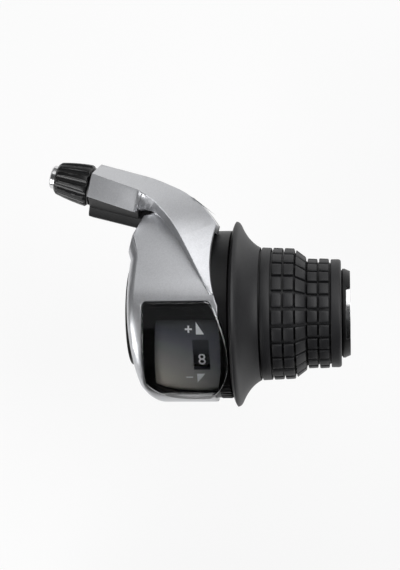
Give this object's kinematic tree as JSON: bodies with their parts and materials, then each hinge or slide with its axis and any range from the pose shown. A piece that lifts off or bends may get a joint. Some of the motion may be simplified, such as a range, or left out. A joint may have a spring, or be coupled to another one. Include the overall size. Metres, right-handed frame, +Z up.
{
  "type": "twist grip shifter",
  "caption": "Handlebar twist grip gear shifter with a blocky rubber grip, gear window, silver cover, cable arm and barrel adjuster.",
  "frame": {"origin": "on the handlebar's axis, at the middle of the clamp ring", "axes": "+X along the handlebar towards its open end, +Y forward, +Z up"},
  "size_m": [0.0864, 0.0717, 0.0548],
  "materials": {
    "black_nylon": "moulded satin black",
    "silver_paint": "silver metallic paint on a moulding",
    "clear_lens": "clear polished plastic",
    "black_gloss": "gloss black",
    "display_print": "printed grey fade",
    "indicator": "dark ring with pale printed numbers",
    "steel": "zinc plated",
    "bright_steel": "bright plated",
    "brass": "turned",
    "white_acetal": "moulded natural white",
    "soft_plug": "moulded",
    "grip_rubber": "fine matt moulded texture",
    "knob_plastic": "satin black moulded"
  },
  "bodies": {
    "housing": {"base_bracket": "black_nylon", "top_cover": "silver_paint", "window_lens": "clear_lens", "window_frame": "black_gloss", "display_plate": "display_print", "thrust_washer": "steel", "tube_end_ring": "bright_steel", "detent_spring": "steel", "clamp_screw": "steel", "clamp_nut": "steel", "cover_screws": "steel", "cable_plug": "soft_plug", "cable_guide": "white_acetal", "adjuster_insert": "brass", "adjuster_spring": "steel"},
    "twist_grip": {"grip_rubber": "grip_rubber", "grip_sleeve": "black_nylon", "cable_spool": "white_acetal", "indicator_ring": "indicator"},
    "adjuster_slide": {"adjuster_click_ring": "knob_plastic"},
    "adjuster_screw": {"adjuster_bolt": "bright_steel", "adjuster_knob": "knob_plastic"}
  },
  "joints": [
    {"name": "grip_twist", "type": "hinge", "parent": "housing", "child": "twist_grip", "pos_m": [0, 0, 0], "axis": [1, 0, 0], "range_deg": [0, 70], "deforming": ["detent_spring"]},
    {"name": "adjuster_out", "type": "slide", "parent": "housing", "child": "adjuster_slide", "axis": [-0.9673, 0.2538, 0], "range_m": [0, 0.004], "deforming": ["adjuster_spring"]},
    {"name": "adjuster_turn", "type": "hinge", "parent": "adjuster_slide", "child": "adjuster_screw", "pos_m": [-0.01442, 0.03717, 0.015], "axis": [-0.9673, 0.2538, 0], "range_deg": [0, 1801]}
  ],
  "couplings": [
    {"joint": "adjuster_turn", "follows": "adjuster_out", "rad_per_m": 7854}
  ]
}
